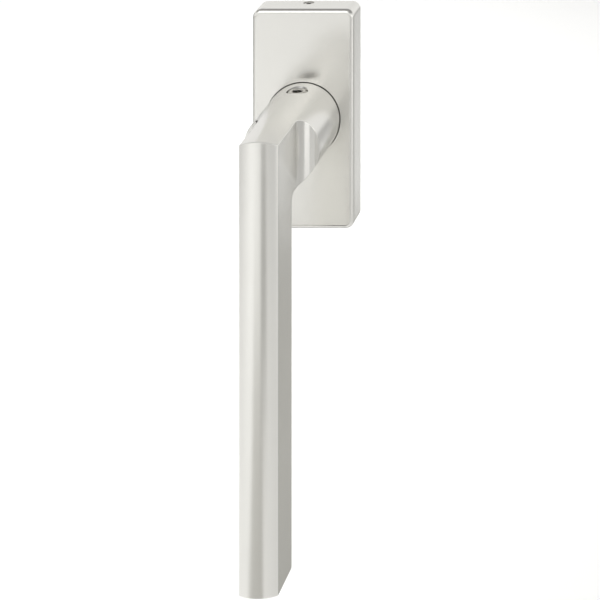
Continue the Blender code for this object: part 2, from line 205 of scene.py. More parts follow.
PAST = 0.001  # how far a blank or a cutter reaches past the face it ends in
GRIP_WIDTH = 0.0112
GRIP_BACK = -0.0475
GRIP_FRONT_EDGE = -0.0636
UNDERCUT_RADIUS = 0.0022
LEVER_EDGE = 0.0002
NECK_RADIUS = 0.0113
NECK_END = -0.0079
SHOULDER_FRONT = -0.0426
JOURNAL_RADIUS = 0.0070
JOURNAL_FLAT = 0.0060
JOURNAL_END = -0.0011
CAM_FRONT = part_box("detent_cam")[0].y
GROOVE = (-0.0025, -0.0015)
GROOVE_RADIUS = 0.0063
SPINDLE_PLAY = 0.0001
GRUB_HOLE_RADIUS = 0.00318
COUNTERSINK_RADIUS = 0.0044
SPINDLE_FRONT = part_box("square_spindle")[0].y
SPINDLE_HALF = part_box("square_spindle")[1].x
lever_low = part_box("handle_lever")[0]
LEVER_END, LEVER_FRONT = lever_low.z, lever_low.y


def finished_primitive(name):
    """Name the new primitive and put its place, turn and size into its mesh."""
    piece = bpy.context.active_object
    piece.name = piece.data.name = name
    bpy.ops.object.transform_apply(location=True, rotation=True, scale=True)
    return piece


def block(name, low, high):
    centre = [(a + b) / 2 for a, b in zip(low, high)]
    size = [b - a for a, b in zip(low, high)]
    bpy.ops.mesh.primitive_cube_add(size=1, location=centre, scale=size)
    return finished_primitive(name)


def round_bar(name, radius, low, high, centre=(0, 0), axis="Y", sides=96, end_radius=None):
    """A round bar along an axis, or a taper where the far end has its own radius."""
    middle = (low + high) / 2
    quarter = math.pi / 2
    place, turn = {
        "X": ((middle, *centre), (0, quarter, 0)),
        "Y": ((centre[0], middle, centre[1]), (-quarter, 0, 0)),
        "Z": ((*centre, middle), (0, 0, 0)),
    }[axis]
    far = radius if end_radius is None else end_radius
    bpy.ops.mesh.primitive_cone_add(
        vertices=sides, radius1=radius, radius2=far, depth=high - low, location=place, rotation=turn
    )
    return finished_primitive(name)


def use(piece):
    """Make this piece the only selected one."""
    bpy.ops.object.select_all(action="DESELECT")
    piece.select_set(True)
    bpy.context.view_layer.objects.active = piece


def apply_modifier(piece, kind, **settings):
    use(piece)
    modifier = piece.modifiers.new(kind.lower(), kind)
    for name, value in settings.items():
        setattr(modifier, name, value)
    bpy.ops.object.modifier_apply(modifier=modifier.name)


def combine(piece, operation, *tools):
    """Union, difference or intersection with each tool in turn, which is used up."""
    for tool in tools:
        apply_modifier(piece, "BOOLEAN", operation=operation, object=tool)
        bpy.data.objects.remove(tool)
    return piece


def cut(piece, *tools):
    return combine(piece, "DIFFERENCE", *tools)


def weld(piece, *tools):
    return combine(piece, "UNION", *tools)


def pick(piece, kind, chosen):
    """In edit mode, select the edges, faces or vertices that a test picks."""
    use(piece)
    bpy.ops.object.mode_set(mode="EDIT")
    bpy.ops.mesh.select_mode(type=kind)
    bpy.ops.mesh.select_all(action="DESELECT")
    mesh = bmesh.from_edit_mesh(piece.data)
    items = {"VERT": mesh.verts, "EDGE": mesh.edges, "FACE": mesh.faces}[kind]
    for item in items:
        if chosen(item):
            item.select = True
    bmesh.update_edit_mesh(piece.data)


def bevel_edges(piece, width, steps, chosen, clamped=False):
    pick(piece, "EDGE", chosen)
    bpy.ops.mesh.bevel(offset=width, segments=steps, affect="EDGES", clamp_overlap=clamped)
    bpy.ops.object.mode_set(mode="OBJECT")


def sharp(edge, degrees=35):
    return edge.is_manifold and edge.calc_face_angle() > math.radians(degrees)


def merge_close(piece, distance):
    use(piece)
    bpy.ops.object.mode_set(mode="EDIT")
    bpy.ops.mesh.select_all(action="SELECT")
    bpy.ops.mesh.remove_doubles(threshold=distance)
    bpy.ops.object.mode_set(mode="OBJECT")


def smooth(piece, degrees=35):
    """Smooth shading that leaves large faces flat and keeps sharp edges."""
    use(piece)
    bpy.ops.object.shade_smooth_by_angle(angle=math.radians(degrees))
    apply_modifier(piece, "WEIGHTED_NORMAL", keep_sharp=True)


def all_near(edge, test):
    return all(test(vert.co) for vert in edge.verts)


def profile(name, points, closed=False):
    """An outline in the XY plane, drawn point by point."""
    bpy.ops.mesh.primitive_plane_add(size=0.001)
    piece = finished_primitive(name)
    bpy.ops.object.mode_set(mode="EDIT")
    bpy.ops.mesh.select_mode(type="VERT")
    bpy.ops.mesh.merge(type="CENTER")
    bpy.ops.transform.translate(value=(*points[0], 0))
    for (x, y), (next_x, next_y) in zip(points, points[1:]):
        step = {"value": (next_x - x, next_y - y, 0)}
        bpy.ops.mesh.extrude_vertices_move(TRANSFORM_OT_translate=step)
    bpy.ops.object.mode_set(mode="OBJECT")
    if closed:
        pick(piece, "VERT", lambda vert: len(vert.link_edges) == 1)
        bpy.ops.mesh.edge_face_add()
        bpy.ops.object.mode_set(mode="OBJECT")
    return piece


def face_outwards(piece):
    use(piece)
    bpy.ops.object.mode_set(mode="EDIT")
    bpy.ops.mesh.select_all(action="SELECT")
    bpy.ops.mesh.normals_make_consistent(inside=False)
    bpy.ops.object.mode_set(mode="OBJECT")


def put(piece, place, turn=(0, 0, 0)):
    """Turn a piece about the origin and move it to its place, all in its mesh."""
    use(piece)
    piece.rotation_euler = turn
    piece.location = place
    bpy.ops.object.transform_apply(location=True, rotation=True)
    return piece


half = GRIP_WIDTH / 2
neck_step = 2.5  # degrees from one facet line of the neck to the next
lever = round_bar(
    "satin_lever", NECK_RADIUS, LEVER_FRONT - PAST, NECK_END, sides=round(360 / neck_step)
)
blank_half = 0.008
grip_blank = block(
    "grip", (-blank_half, LEVER_FRONT - 2 * PAST, LEVER_END), (blank_half, GRIP_BACK, 0)
)
weld(lever, grip_blank)
# The undercut, where the back of the grip runs into the underside of the neck.
bevel_edges(
    lever,
    UNDERCUT_RADIUS,
    6,
    lambda edge: all_near(
        edge,
        lambda p: abs(p.y - GRIP_BACK) < 1e-5
        and p.z < -0.005
        and abs(math.hypot(p.x, p.z) - NECK_RADIUS) < 1e-4,
    ),
)

# The plan: hollow shoulders into flat sides, and a crowned front with a point on each of the
# neck's facet lines, so that the two surfaces meet in one clean edge.
hollow_radius = NECK_RADIUS - half
crown_rise = GRIP_FRONT_EDGE - LEVER_FRONT
crown_radius = (half**2 + crown_rise**2) / (2 * crown_rise)
right_side = [(NECK_RADIUS + PAST, 0)]
right_side.append((NECK_RADIUS + PAST, SHOULDER_FRONT + hollow_radius))
hollow_step = 15  # degrees
for angle in range(90, 181, hollow_step):
    across = NECK_RADIUS + hollow_radius * math.cos(math.radians(angle))
    right_side.append((across, SHOULDER_FRONT + hollow_radius * math.sin(math.radians(angle))))
right_side.append((half, GRIP_FRONT_EDGE))
last_line = math.floor(math.degrees(math.asin(half / NECK_RADIUS)) / neck_step)
for line in range(last_line, -1, -1):
    across = NECK_RADIUS * math.sin(math.radians(neck_step * line))
    dip = crown_radius - math.sqrt(crown_radius**2 - across**2)
    right_side.append((across, LEVER_FRONT + dip))
left_side = [(-x, y) for x, y in reversed(right_side[:-1])]
plan_height = 0.15
plan_foot = -0.13
plan = profile("plan", right_side + left_side, closed=True)
pick(plan, "EDGE", lambda edge: True)
bpy.ops.mesh.fill()
bpy.ops.mesh.extrude_region_move(TRANSFORM_OT_translate={"value": (0, 0, plan_height)})
bpy.ops.object.mode_set(mode="OBJECT")
face_outwards(plan)
combine(lever, "INTERSECT", put(plan, (0, 0, plan_foot)))
merge_close(lever, 6e-5)
# The grip's edges are broken all round, except along the undercut, where the faces blend.
grip_side = -0.02
undercut_low, undercut_high = -0.0123, -0.0095
bevel_edges(
    lever,
    LEVER_EDGE,
    2,
    lambda edge: sharp(edge, 28)
    and all_near(edge, lambda p: p.y < grip_side)
    and not all_near(
        edge, lambda p: p.y > GRIP_BACK - 1e-5 and undercut_low < p.z < undercut_high
    ),
)

journal = round_bar("journal", JOURNAL_RADIUS, NECK_END - PAST, JOURNAL_END, sides=128)
bevel_edges(
    journal, 0.0003, 2, lambda edge: all_near(edge, lambda p: abs(p.y - JOURNAL_END) < 1e-6)
)
groove = round_bar("groove", JOURNAL_RADIUS + PAST, *GROOVE)
groove_front, groove_back = GROOVE[0] - PAST / 2, GROOVE[1] + PAST / 2
groove_floor = round_bar("groove_floor", GROOVE_RADIUS, groove_front, groove_back, sides=128)
cut(journal, cut(groove, groove_floor))
flat_end = JOURNAL_RADIUS + 2 * PAST
for side in (-1, 1):
    low, high = sorted((side * JOURNAL_FLAT, side * flat_end))
    cut(journal, block("flat", (low, CAM_FRONT - 0.0002, -0.01), (high, 0, 0.01)))
weld(lever, journal)
hole = SPINDLE_HALF + SPINDLE_PLAY
cut(lever, block("hole", (-hole, SPINDLE_FRONT - 0.0002, -hole), (hole, 0, hole)))
grub_low, grub_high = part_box("neck_grub_screw")
GRUB_AT = (grub_low.y + grub_high.y) / 2
grub_hole = round_bar("grub_hole", GRUB_HOLE_RADIUS, 0, 0.02, (0, GRUB_AT), "Z", 64)
countersink_foot, countersink_top = 0.0105, 0.0120
countersink = round_bar(
    "countersink",
    COUNTERSINK_RADIUS - (countersink_top - countersink_foot),
    countersink_foot,
    countersink_top,
    (0, GRUB_AT),
    "Z",
    64,
    end_radius=COUNTERSINK_RADIUS,
)
cut(lever, weld(grub_hole, countersink))
merge_close(lever, 5e-6)
smooth(lever)


def satin_anodised_aluminium():
    """Anodised aluminium, blasted and etched: a clear oxide skin over fine even grain.

    It gives the eye a warm pale grey with soft reflections and a barely visible sparkle.
    """
    material = new_material("satin_anodised_aluminium")
    place = add_node(material, "ShaderNodeTexCoord").outputs["Object"]
    # Real grit pits are under 0.1 mm; they are drawn at 0.25 mm, the finest the render shows.
    grain = add_node(material, "ShaderNodeTexNoise", Vector=place, Scale=1 / 0.00025, Detail=3.0)
    # The oxide's tone drifts over patches of 17 mm.
    cloud = add_node(material, "ShaderNodeTexNoise", Vector=place, Scale=60.0, Detail=2.0)
    tone = add_node(
        material,
        "ShaderNodeMix",
        {"data_type": "RGBA"},
        Factor=cloud.outputs["Fac"],
        _6=colour("e4e3df"),
        _7=colour("e9e8e4"),
    )
    rough = add_node(
        material,
        "ShaderNodeMapRange",
        Value=grain.outputs["Fac"],
        To_Min=0.19,
        To_Max=0.27,
    )
    bump = add_node(
        material, "ShaderNodeBump", Height=grain.outputs["Fac"], Strength=0.04, Distance=0.00005
    )
    shine(
        material,
        Base_Color=tone.outputs[2],
        Metallic=1.0,
        Roughness=rough.outputs["Result"],
        Normal=bump.outputs["Normal"],
    )
    return material


anodised = satin_anodised_aluminium()


def fit(piece, material, body, slot, *nodes):
    """Give a finished piece its material, its place in the frame and the nodes it stands for."""
    piece.data.materials.clear()
    piece.data.materials.append(material)
    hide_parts(*nodes)
    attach(piece, body)


fit(lever, anodised, "lever", "anodised_aluminium", "handle_lever")

# --- Neck grub screw ------------------------------------------------------------------------
# M6 stainless socket screw in the top of the neck. It clamps the square spindle. The thread
# is rolled, the point and the rim of the 3 mm hexagon socket are chamfered.

GRUB_PITCH = 0.0010
GRUB_RADIUS = 0.0030
GRUB_SOCKET = 0.0030
THREAD_DEPTH = 0.61  # of the pitch, for a metric screw


def slice_off(piece, along, side):
    """Cut the piece square to Y and close it; side says which part goes."""
    use(piece)
    bpy.ops.object.mode_set(mode="EDIT")
    bpy.ops.mesh.select_all(action="SELECT")
    bpy.ops.mesh.bisect(
        plane_co=(0, along, 0),
        plane_no=(0, side, 0),
        use_fill=True,
        clear_outer=True,
        threshold=1e-7,
    )
    bpy.ops.object.mode_set(mode="OBJECT")


def threaded_rod(name, radius, pitch, low, high, steps=32):
    """A metric thread along Y, cut square at both ends."""
    root = radius - THREAD_DEPTH * pitch
    start = low - pitch
    crest = [(root, 0), (root, pitch / 4), (radius, pitch * 9 / 16), (radius, pitch * 11 / 16)]
    rod = profile(name, [(x, start + y) for x, y in crest] + [(root, low)])
    turns = math.ceil((high - low) / pitch) + 2
    apply_modifier(
        rod,
        "SCREW",
        axis="Y",
        screw_offset=pitch,
        iterations=turns,
        steps=steps,
        render_steps=steps,
        use_merge_vertices=False,
    )
    merge_close(rod, 1e-6)
    slice_off(rod, low, -1)
    slice_off(rod, high, 1)
    face_outwards(rod)
    return rod


def chamfered_bar(name, radius, low, high, chamfer, sides=64):
    bar = round_bar(name, radius, low, high, sides=sides)
    bevel_edges(bar, chamfer, 1, sharp)
    return bar


def socket_screw(name, radius, pitch, length, socket):
    """A headless screw with its socket at the origin and its point at +Y."""
    screw = threaded_rod(name, radius, pitch, 0, length)
    outside = chamfered_bar("outside", radius + 0.00002, 0, length, 0.5 * pitch)
    combine(screw, "INTERSECT", outside)
    rim = socket / math.sqrt(3) + 0.0001
    countersink = round_bar("countersink", rim, -0.0001, rim, sides=48, end_radius=0)
    hexagon = round_bar("hexagon", socket / math.sqrt(3), -0.001, socket, sides=6)
    drill_tip = round_bar(
        "drill_tip", socket / 2, socket - 0.0001, 1.3 * socket, sides=32, end_radius=0
    )
    cut(screw, countersink, weld(hexagon, drill_tip))
    merge_close(screw, 1e-6)
    smooth(screw, 25)
    return screw


def stainless_screw_steel():
    """Cold-headed stainless steel, tumbled: clean and bright, a little warm, hardly scratched.

    It gives the eye small sharp highlights and a dark socket.
    """
    material = new_material("stainless_screw_steel")
    place = add_node(material, "ShaderNodeTexCoord").outputs["Object"]
    # Tumbling marks about 0.3 mm across.
    marks = add_node(material, "ShaderNodeTexNoise", Vector=place, Scale=3000.0, Detail=4.0)
    rough = add_node(
        material, "ShaderNodeMapRange", Value=marks.outputs["Fac"], To_Min=0.16, To_Max=0.34
    )
    tone = add_node(
        material,
        "ShaderNodeMix",
        {"data_type": "RGBA"},
        Factor=marks.outputs["Fac"],
        _6=colour("c3c1bc"),
        _7=colour("d6d4cf"),
    )
    bump = add_node(
        material, "ShaderNodeBump", Height=marks.outputs["Fac"], Strength=0.1, Distance=0.00003
    )
    shine(
        material,
        Base_Color=tone.outputs[2],
        Metallic=1.0,
        Roughness=rough.outputs["Result"],
        Normal=bump.outputs["Normal"],
    )
    return material


stainless = stainless_screw_steel()
grub_length = grub_high.z - grub_low.z
grub_screw = socket_screw("neck_screw", GRUB_RADIUS, GRUB_PITCH, grub_length, GRUB_SOCKET)
put(grub_screw, (0, GRUB_AT, grub_high.z), (-math.pi / 2, 0, 0))
fit(grub_screw, stainless, "lever", "stainless_steel", "neck_grub_screw")

# --- Square spindle -------------------------------------------------------------------------
# 7 mm square cold-drawn steel bar with chamfered ends, zinc plated. It is held in the neck by
# the grub screw and turns the window's gear.


def bright_zinc_plating():
    """Steel, zinc plated in a barrel and clear passivated.

    It gives the eye a cool grey metal with cloudy patches, a faint yellow and blue tinge and
    tiny knocks.
    """
    material = new_material("bright_zinc_plating")
    place = add_node(material, "ShaderNodeTexCoord").outputs["Object"]
    # Clouds of the plating bath about 4.5 mm across, barrel knocks 0.4 mm.
    clouds = add_node(material, "ShaderNodeTexNoise", Vector=place, Scale=220.0, Detail=3.0)
    knocks = add_node(material, "ShaderNodeTexNoise", Vector=place, Scale=1 / 0.0004, Detail=4.0)
    tone = add_node(
        material,
        "ShaderNodeMix",
        {"data_type": "RGBA"},
        Factor=clouds.outputs["Fac"],
        _6=colour("aeb6c0"),
        _7=colour("cdccc2"),
    )
    rough = add_node(
        material, "ShaderNodeMapRange", Value=clouds.outputs["Fac"], To_Min=0.2, To_Max=0.42
    )
    bump = add_node(
        material, "ShaderNodeBump", Height=knocks.outputs["Fac"], Strength=0.15, Distance=0.00004
    )
    shine(
        material,
        Base_Color=tone.outputs[2],
        Metallic=1.0,
        Roughness=rough.outputs["Result"],
        Normal=bump.outputs["Normal"],
    )
    return material


plated = bright_zinc_plating()
spindle_low, spindle_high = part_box("square_spindle")
spindle = block("spindle_bar", spindle_low, spindle_high)
end_chamfer, drawn_corner = 0.0007, 0.0003
bevel_edges(
    spindle, end_chamfer, 1, lambda edge: abs(edge.verts[0].co.y - edge.verts[1].co.y) < 1e-5
)
bevel_edges(
    spindle, drawn_corner, 3, lambda edge: abs(edge.verts[0].co.y - edge.verts[1].co.y) > 0.05
)
bevel_edges(spindle, 0.0001, 2, lambda edge: sharp(edge, 40))
smooth(spindle, 25)
fit(spindle, plated, "lever", "zinc_plated_steel", "square_spindle")

# --- Rosette cover --------------------------------------------------------------------------
# A cap pressed from 1.3 mm aluminium sheet, with a soft front edge and a hole for the neck,
# blasted and anodised with the lever. A boss for the set screw stands inside its top edge,
# and a collar round the hole holds the guide ring.

COVER_CORNER = 0.0026
COVER_EDGE = 0.00135
COVER_WALL = 0.0013
COLLAR_RADIUS = 0.0146
COLLAR_WALL = 0.0010
COLLAR_BACK = -0.0074
BOSS_HALF = 0.0032
NECK_GAP = 0.00016
cover_low, cover_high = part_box("rosette_cover")
set_low, set_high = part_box("cover_set_screw")
boss_low = set_low.z


def rounded_box(name, low, high, corner, rim=0.0, steps=8, rim_steps=6):
    """A box whose four edges along Y are rounded, and then the rim of its front face."""
    piece = block(name, low, high)
    bevel_edges(
        piece, corner, steps, lambda edge: abs(edge.verts[0].co.y - edge.verts[1].co.y) > 1e-5
    )
    if rim:
        bevel_edges(
            piece, rim, rim_steps, lambda edge: all_near(edge, lambda p: abs(p.y - low[1]) < 1e-6)
        )
    return piece


cover = rounded_box("satin_cover", cover_low, cover_high, COVER_CORNER, COVER_EDGE)
inner_low = (cover_low.x + COVER_WALL, cover_low.y + COVER_WALL, cover_low.z + COVER_WALL)
inner_high = (cover_high.x - COVER_WALL, 0.001, cover_high.z - COVER_WALL)
cut(cover, rounded_box("inside", inner_low, inner_high, COVER_CORNER - COVER_WALL, 0.0006, 6, 3))
inner_face = inner_low[1]
collar = round_bar("collar", COLLAR_RADIUS, inner_face - 0.0005, COLLAR_BACK, sides=96)
collar_bore = COLLAR_RADIUS - COLLAR_WALL
cut(collar, round_bar("collar_bore", collar_bore, inner_face - PAST, -0.007, sides=96))
boss_front, boss_back = -0.0044, -0.0002
boss_top = cover_high.z - 0.0006  # inside the wall
boss = block("boss", (-BOSS_HALF, boss_front, boss_low), (BOSS_HALF, boss_back, boss_top))
weld(cover, collar, boss)
cut(cover, round_bar("neck_hole", NECK_RADIUS + NECK_GAP, -0.02, -0.0075, sides=160))
SET_SCREW_AT = (set_low.y + set_high.y) / 2
cut(cover, round_bar("thread_hole", 0.0016, 0.02, 0.04, (0, SET_SCREW_AT), "Z", 48))
merge_close(cover, 1e-5)
bevel_edges(cover, 0.00012, 2, lambda edge: sharp(edge, 50))
smooth(cover)
fit(cover, anodised, "cover", "anodised_aluminium", "rosette_cover")

# --- Cover set screw ------------------------------------------------------------------------
# M3 stainless socket screw, 3 mm long, in the cover's top edge. Loosened, it lets the cover
# slide forward off the base plate.

SET_SCREW_RADIUS = 0.0015
SET_SCREW_PITCH = 0.0005
SET_SCREW_SOCKET = 0.0015
set_screw = socket_screw(
    "cover_screw", SET_SCREW_RADIUS, SET_SCREW_PITCH, set_high.z - set_low.z, SET_SCREW_SOCKET
)
put(set_screw, (0, SET_SCREW_AT, set_high.z), (-math.pi / 2, 0, 0))
fit(set_screw, stainless, "cover", "stainless_steel", "cover_set_screw")

# --- Cover guide ring -----------------------------------------------------------------------
# Ring moulded from grey polyamide, pressed into the cover's collar. It keeps the edge of the
# hole off the turning neck.


def turned(name, points, steps=96):
    """A closed outline of radius and y, turned about the Y axis."""
    piece = profile(name, points, closed=True)
    use(piece)
    bpy.ops.object.mode_set(mode="EDIT")
    bpy.ops.mesh.select_all(action="SELECT")
    bpy.ops.mesh.spin(steps=steps, angle=math.tau, center=(0, 0, 0), axis=(0, 1, 0))
    bpy.ops.object.mode_set(mode="OBJECT")
    merge_close(piece, 1e-6)
    face_outwards(piece)
    return piece


def moulded_polyamide():
    """Natural grey polyamide, injection moulded: a dull skin that lets a little light in.

    It gives the eye soft milky grey edges and a faint spark-eroded grain.
    """
    material = new_material("moulded_polyamide")
    place = add_node(material, "ShaderNodeTexCoord").outputs["Object"]
    # Spark-eroded mould grain of 0.2 mm.
    grain = add_node(material, "ShaderNodeTexNoise", Vector=place, Scale=1 / 0.0002, Detail=2.0)
    tone = add_node(
        material,
        "ShaderNodeMix",
        {"data_type": "RGBA"},
        Factor=grain.outputs["Fac"],
        _6=colour("b4b3ae"),
        _7=colour("c2c1bc"),
    )
    rough = add_node(
        material, "ShaderNodeMapRange", Value=grain.outputs["Fac"], To_Min=0.42, To_Max=0.6
    )
    bump = add_node(
        material, "ShaderNodeBump", Height=grain.outputs["Fac"], Strength=0.2, Distance=0.00003
    )
    shine(
        material,
        Base_Color=tone.outputs[2],
        Roughness=rough.outputs["Result"],
        Normal=bump.outputs["Normal"],
        IOR=1.53,
        Subsurface_Weight=0.1,
        Subsurface_Radius=(0.0008, 0.0008, 0.0007),
    )
    return material


polyamide = moulded_polyamide()
ring_low, ring_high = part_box("cover_guide_ring")
ring_outer = ring_high.x
ring_inner = NECK_RADIUS + 0.0001
ring_edge = 0.00025
notch_half = 0.0009
guide_ring = turned(
    "guide_ring",
    [
        (ring_inner, ring_low.y + ring_edge),
        (ring_inner + ring_edge, ring_low.y),
        (ring_outer - ring_edge, ring_low.y),
        (ring_outer, ring_low.y + ring_edge),
        (ring_outer, ring_high.y - ring_edge),
        (ring_outer - ring_edge, ring_high.y),
        (ring_inner + ring_edge, ring_high.y),
        (ring_inner, ring_high.y - ring_edge),
    ],
    128,
)
for turn in range(3):
    notch_low = (-notch_half, -0.0079, ring_inner - PAST)
    notch = block("key_notch", notch_low, (notch_half, -0.0070, 0.014))
    cut(guide_ring, put(notch, (0, 0, 0), (0, turn * math.tau / 3, 0)))
smooth(guide_ring)
fit(guide_ring, polyamide, "cover", "polyamide", "cover_guide_ring")

# --- Base plate -----------------------------------------------------------------------------
# Zinc alloy, die cast and tumbled: raised pads for the two fixing screws, a pocket behind for
# the click mechanism, cored-out corners and soft cast edges. It is screwed to the window.

SLEEVE_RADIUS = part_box("upper_support_sleeve")[1].x
SCREW_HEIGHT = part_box("upper_support_sleeve")[1].z - SLEEVE_RADIUS
SCREW_RADIUS = 0.0025
PLATE_SCREW_AT = (0.0096, 0.0146)
BASE_FRONT = -0.0068
WEB_BACK = -0.0050
CAST_GAP = 0.0002  # between the casting and what lies in it
base_low, base_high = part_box("base_plate")
pad_front = base_low.y
plate_low, plate_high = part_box("back_plate")
lid_depth = plate_high.y - plate_low.y


def upright_edge(edge):
    """An edge that runs along Y."""
    a, b = edge.verts
    return math.hypot(a.co.x - b.co.x, a.co.z - b.co.z) < 1e-5


base = rounded_box("cast_base", base_low, base_high, 0.0020, 0.0004, 6, 3)
pad_start = 0.015
middle = block("middle", (-0.02, -0.012, -pad_start), (0.02, BASE_FRONT, pad_start))
bevel_edges(
    middle,
    0.0005,
    3,
    lambda edge: all_near(edge, lambda p: abs(p.y - BASE_FRONT) < 1e-6)
    and abs(edge.verts[0].co.z - edge.verts[1].co.z) < 1e-6,
)
cut(base, middle)
recess_x, recess_z = plate_high.x + CAST_GAP, plate_high.z + CAST_GAP
recess = block(
    "recess", (-recess_x, -lid_depth - CAST_GAP, -recess_z), (recess_x, PAST, recess_z)
)
recess_corner, pocket_corner, core_corner = 0.0014, 0.0010, 0.0008
bevel_edges(recess, recess_corner, 5, upright_edge)
pocket_x, pocket_z = 0.0116, 0.0113
pocket = block("pocket", (-pocket_x, WEB_BACK, -pocket_z), (pocket_x, 2 * PAST, pocket_z))
bevel_edges(pocket, pocket_corner, 4, upright_edge)
seat_x, seat_z = 0.0099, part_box("detent_spring_left")[1].z + CAST_GAP
seats = block("seats", (-seat_x, WEB_BACK + 0.00001, -seat_z), (seat_x, 3 * PAST, seat_z))
bush_radius = 0.0085
bush_hole = round_bar("bush_hole", bush_radius + CAST_GAP, -0.01, PAST, sides=96)
boss_room = BOSS_HALF + 0.0004
notch = block("boss_notch", (-boss_room, -0.01, boss_low - 0.0003), (boss_room, PAST, 0.04))
cut(base, recess, pocket, seats, bush_hole, notch)
sleeve_seat = -0.0027
head = SCREW_RADIUS + 0.0024
head_seat = pad_front + head - SCREW_RADIUS
core_sides, core_ends, core_floor = (0.0070, 0.0118), (0.0030, 0.0081), -0.0058
for up in (1, -1):
    level = up * SCREW_HEIGHT
    at_screw = (0, level)
    cut(
        base,
        round_bar("sleeve_hole", SLEEVE_RADIUS + CAST_GAP, sleeve_seat, PAST, at_screw, sides=64),
        round_bar("shank_hole", SCREW_RADIUS + CAST_GAP, -0.01, -0.002, at_screw, sides=60),
        round_bar(
            "head_seat",
            head + PAST / 2,
            pad_front - PAST / 2,
            head_seat,
            at_screw,
            sides=72,
            end_radius=SCREW_RADIUS,
        ),
    )
    for side in (-1, 1):
        left, right = sorted(side * x for x in core_sides)
        low, high = sorted(level + up * z for z in core_ends)
        core = block("core", (left, core_floor, low), (right, PAST, high))
        bevel_edges(core, core_corner, 3, upright_edge)
        cut(base, core)
tapped_radius, tapped_floor = 0.00105, -0.0054
for x in (-PLATE_SCREW_AT[0], PLATE_SCREW_AT[0]):
    for z in (-PLATE_SCREW_AT[1], PLATE_SCREW_AT[1]):
        cut(base, round_bar("tapped_hole", tapped_radius, tapped_floor, 0, (x, z), sides=32))
merge_close(base, 1e-5)
smooth(base)


def tumbled_zinc_casting():
    """Zinc alloy as it comes from the die, tumbled: matt grey, mottled, with flow marks.

    It gives the eye a darker, duller grey than the aluminium, with a fine pitted skin.
    """
    material = new_material("tumbled_zinc_casting")
    place = add_node(material, "ShaderNodeTexCoord").outputs["Object"]
    # Flow marks about 5.5 mm long; pits about 0.3 mm.
    flow = add_node(
        material, "ShaderNodeTexNoise", Vector=place, Scale=180.0, Detail=5.0, Distortion=1.5
    )
    pits = add_node(material, "ShaderNodeTexNoise", Vector=place, Scale=3200.0, Detail=3.0)
    tone = add_node(
        material,
        "ShaderNodeMix",
        {"data_type": "RGBA"},
        Factor=flow.outputs["Fac"],
        _6=colour("8f9296"),
        _7=colour("adafb0"),
    )
    rough = add_node(
        material, "ShaderNodeMapRange", Value=flow.outputs["Fac"], To_Min=0.38, To_Max=0.58
    )
    bump = add_node(
        material, "ShaderNodeBump", Height=pits.outputs["Fac"], Strength=0.35, Distance=0.00006
    )
    shine(
        material,
        Base_Color=tone.outputs[2],
        Metallic=1.0,
        Roughness=rough.outputs["Result"],
        Normal=bump.outputs["Normal"],
    )
    return material


zinc_casting = tumbled_zinc_casting()
fit(base, zinc_casting, "rosette", "zinc_die_casting", "base_plate")

# --- Back plate -----------------------------------------------------------------------------
# Lid of the click mechanism, punched from 0.8 mm sheet steel, zinc plated, with the rounded
# edge that a punch leaves. Four countersunk screws hold it flush with the base plate's back.

lid_corner = 0.0012
spindle_room = 0.0056
sleeve_room = SLEEVE_RADIUS + 0.0006
lid = rounded_box("mechanism_lid", plate_low, plate_high, lid_corner, 0, 5)
cut(lid, round_bar("spindle_room", spindle_room, -0.005, PAST, sides=96))
for level in (SCREW_HEIGHT, -SCREW_HEIGHT):
    cut(lid, round_bar("sleeve_room", sleeve_room, -0.005, PAST, (0, level), sides=64))
for x in (-PLATE_SCREW_AT[0], PLATE_SCREW_AT[0]):
    for z in (-PLATE_SCREW_AT[1], PLATE_SCREW_AT[1]):
        hole = round_bar("screw_hole", 0.0012, -0.002, PAST, (x, z), sides=48)
        taper = round_bar("taper", 0.0010, -0.0011, 0.0001, (x, z), sides=48, end_radius=0.0022)
        cut(lid, hole, taper)
merge_close(lid, 1e-5)
bevel_edges(lid, 0.00012, 2, lambda edge: sharp(edge, 60))
smooth(lid)
fit(lid, plated, "rosette", "zinc_plated_steel", "back_plate")

# --- Back plate screws ----------------------------------------------------------------------
# Four M2 countersunk screws with a cross recess, thread rolled, zinc plated, driven from
# behind through the lid into the base plate.


def cross_recess(name, reach, width, depth):
    """A driver's tapering cross, from above the origin down to a point at +Y."""
    top = 0.0003
    cross = round_bar("core", 0.57 * reach, -0.8 * top, depth, sides=30, end_radius=0.12 * reach)
    for turn in (0, math.pi / 2):
        blade = block(name, (-reach, -top, -width), (reach, 0.8 * depth, width))
        pick(blade, "VERT", lambda vert: vert.co.y > 0)
        bpy.ops.transform.resize(value=(0.55, 1, 0.7), center_override=(0, 0, 0))
        bpy.ops.object.mode_set(mode="OBJECT")
        weld(cross, put(blade, (0, 0, 0), (0, turn, 0)))
    return cross


def countersunk_screw(name, radius, pitch, head_radius, length, recess):
    """A screw with its flat head at the origin and its point at +Y."""
    screw = threaded_rod(name, radius, pitch, head_radius - radius, length)
    outside = round_bar("outside", radius + 0.00002, 0, length, sides=64)
    bevel_edges(
        outside, pitch, 1, lambda edge: all_near(edge, lambda p: abs(p.y - length) < 1e-6)
    )
    combine(screw, "INTERSECT", outside)
    neck = 0.8 * radius
    head = round_bar("head", head_radius, 0, head_radius - neck, sides=64, end_radius=neck)
    bevel_edges(head, 0.00012, 2, lambda edge: all_near(edge, lambda p: p.y < 1e-6))
    shank = round_bar("shank", 0.9 * radius, 0.5 * radius, head_radius - radius + pitch, sides=60)
    weld(screw, head, shank)
    cut(screw, cross_recess("recess", *recess))
    merge_close(screw, 1e-6)
    smooth(screw, 25)
    return screw


